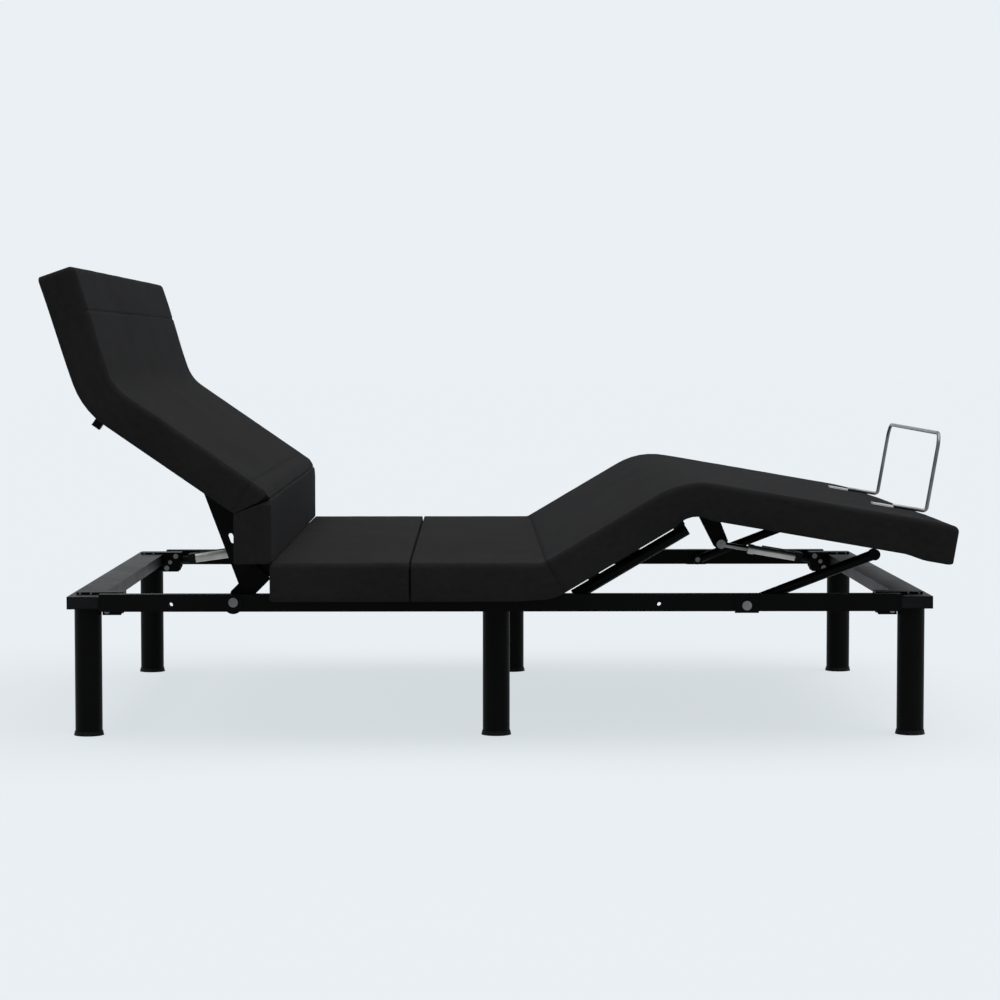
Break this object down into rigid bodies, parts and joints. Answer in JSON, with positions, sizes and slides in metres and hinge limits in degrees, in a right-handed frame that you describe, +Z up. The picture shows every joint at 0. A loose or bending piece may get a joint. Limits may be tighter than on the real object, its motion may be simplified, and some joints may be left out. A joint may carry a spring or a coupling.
{
  "type": "adjustable bed base",
  "caption": "Upholstered adjustable bed base on a legged steel frame, with lifting head, lumbar, pillow and knee sections and a foot retainer bar.",
  "frame": {"origin": "on the floor under the middle of the steel frame", "axes": "+X towards the foot end, +Y towards the sleeper's left, +Z up"},
  "size_m": [1.8377, 1.51, 0.9436],
  "materials": {
    "black_steel": "black powder coat, satin",
    "upholstery": "black woven fabric over foam",
    "plywood": "plywood",
    "hinge_steel": "black coated steel",
    "black_plastic": "matte black",
    "actuator_tube": "satin aluminium",
    "actuator_rod": "bright steel",
    "bolt_steel": "zinc plated",
    "retainer_wire": "gunmetal",
    "clip_steel": "bright"
  },
  "bodies": {
    "frame": {"corner_bracket_foot_left": "black_steel", "corner_bracket_foot_right": "black_steel", "corner_bracket_head_left": "black_steel", "corner_bracket_head_right": "black_steel", "crossbar_end_caps": "black_plastic", "foot_crossbar": "black_steel", "frame_bolts": "bolt_steel", "head_crossbar": "black_steel", "leg_feet": "black_plastic", "leg_foot_left": "black_steel", "leg_foot_right": "black_steel", "leg_head_left": "black_steel", "leg_head_right": "black_steel", "leg_middle_left": "black_steel", "leg_middle_right": "black_steel", "lumbar_hinge_seat_leaf": "hinge_steel", "middle_crossbar_foot": "black_steel", "middle_crossbar_head": "black_steel", "seat_board": "plywood", "seat_foot_cushion": "upholstery", "seat_head_cushion": "upholstery", "side_rail_left": "black_steel", "side_rail_right": "black_steel", "thigh_hinge_seat_leaf": "hinge_steel"},
    "lumbar": {"lumbar_cushion": "upholstery", "lumbar_board": "plywood", "lumbar_hinge_lumbar_leaf": "hinge_steel", "back_hinge_lumbar_leaf": "hinge_steel"},
    "head": {"head_cushion": "upholstery", "head_board": "plywood", "back_hinge_head_leaf": "hinge_steel", "pillow_hinge_head_leaf": "hinge_steel", "head_side_plate_left": "black_steel", "head_side_plate_right": "black_steel", "pillow_stops": "black_steel"},
    "pillow": {"pillow_cushion": "upholstery", "pillow_board": "plywood", "pillow_hinge_pillow_leaf": "hinge_steel"},
    "thigh": {"thigh_cushion": "upholstery", "thigh_board": "plywood", "thigh_hinge_thigh_leaf": "hinge_steel", "knee_hinge_thigh_leaf": "hinge_steel", "thigh_tube_left": "black_steel", "thigh_tube_right": "black_steel"},
    "calf": {"calf_cushion": "upholstery", "calf_board": "plywood", "knee_hinge_calf_leaf": "hinge_steel", "calf_crank_plate": "black_steel", "retainer_bar": "retainer_wire", "retainer_clips": "clip_steel"},
    "head_links": {"head_link_arm_left": "black_steel", "head_link_arm_right": "black_steel"},
    "calf_arms": {"calf_arm_left": "black_steel", "calf_arm_right": "black_steel"},
    "head_actuator_body": {"head_actuator_motor": "black_plastic", "head_actuator_tube": "actuator_tube"},
    "head_actuator_piston": {"head_actuator_rod": "actuator_rod"},
    "foot_actuator_body": {"foot_actuator_motor": "black_plastic", "foot_actuator_tube": "actuator_tube"},
    "foot_actuator_piston": {"foot_actuator_rod": "actuator_rod"}
  },
  "joints": [
    {"name": "head_lift", "type": "hinge", "parent": "frame", "child": "lumbar", "pos_m": [-0.4565, 0, 0.3594], "axis": [0, 1, 0], "range_deg": [-90, 0]},
    {"name": "back_hinge", "type": "hinge", "parent": "lumbar", "child": "head", "pos_m": [-0.5305, 0, 0.458], "axis": [0, 1, 0], "range_deg": [0, 55.41]},
    {"name": "pillow_tilt", "type": "hinge", "parent": "head", "child": "pillow", "pos_m": [-0.76053, 0, 0.70658], "axis": [0, 1, 0], "range_deg": [-36.1, 0]},
    {"name": "thigh_lift", "type": "hinge", "parent": "frame", "child": "thigh", "pos_m": [0.08375, 0, 0.3594], "axis": [0, 1, 0], "range_deg": [0, 30.7]},
    {"name": "knee_hinge", "type": "hinge", "parent": "thigh", "child": "calf", "pos_m": [0.37544, 0, 0.44653], "axis": [0, 1, 0], "range_deg": [-40.51, 0]},
    {"name": "head_link_swing", "type": "hinge", "parent": "frame", "child": "head_links", "pos_m": [-0.5355, 0, 0.276], "axis": [0, 1, 0], "range_deg": [0, 70.51]},
    {"name": "calf_arm_swing", "type": "hinge", "parent": "frame", "child": "calf_arms", "pos_m": [0.4946, 0, 0.269], "axis": [0, 1, 0], "range_deg": [0, 19.61]},
    {"name": "head_actuator_swing", "type": "hinge", "parent": "frame", "child": "head_actuator_body", "pos_m": [-0.788, 0.54, 0.268], "axis": [0, 1, 0], "range_deg": [0, 23.64]},
    {"name": "head_actuator_stroke", "type": "slide", "parent": "head_actuator_body", "child": "head_actuator_piston", "axis": [0.9904, 0, 0.138], "range_m": [0, 0.06769]},
    {"name": "foot_actuator_swing", "type": "hinge", "parent": "frame", "child": "foot_actuator_body", "pos_m": [0.788, 0.54, 0.269], "axis": [0, 1, 0], "range_deg": [-32.17, 0]},
    {"name": "foot_actuator_stroke", "type": "slide", "parent": "foot_actuator_body", "child": "foot_actuator_piston", "axis": [-0.9859, 0, 0.1675], "range_m": [-0.01009, 0]}
  ],
  "couplings": [
    {"joint": "back_hinge", "follows": "head_lift", "ratio": -0.61556},
    {"joint": "head_link_swing", "follows": "head_lift", "ratio": -0.78333},
    {"joint": "head_actuator_swing", "follows": "head_lift", "ratio": -0.26258},
    {"joint": "head_actuator_stroke", "follows": "head_lift", "m_per_rad": -0.043087},
    {"joint": "knee_hinge", "follows": "thigh_lift", "ratio": -1.3192},
    {"joint": "calf_arm_swing", "follows": "thigh_lift", "ratio": 0.63844},
    {"joint": "foot_actuator_swing", "follows": "thigh_lift", "ratio": -1.0476},
    {"joint": "foot_actuator_stroke", "follows": "thigh_lift", "m_per_rad": -0.018822}
  ]
}
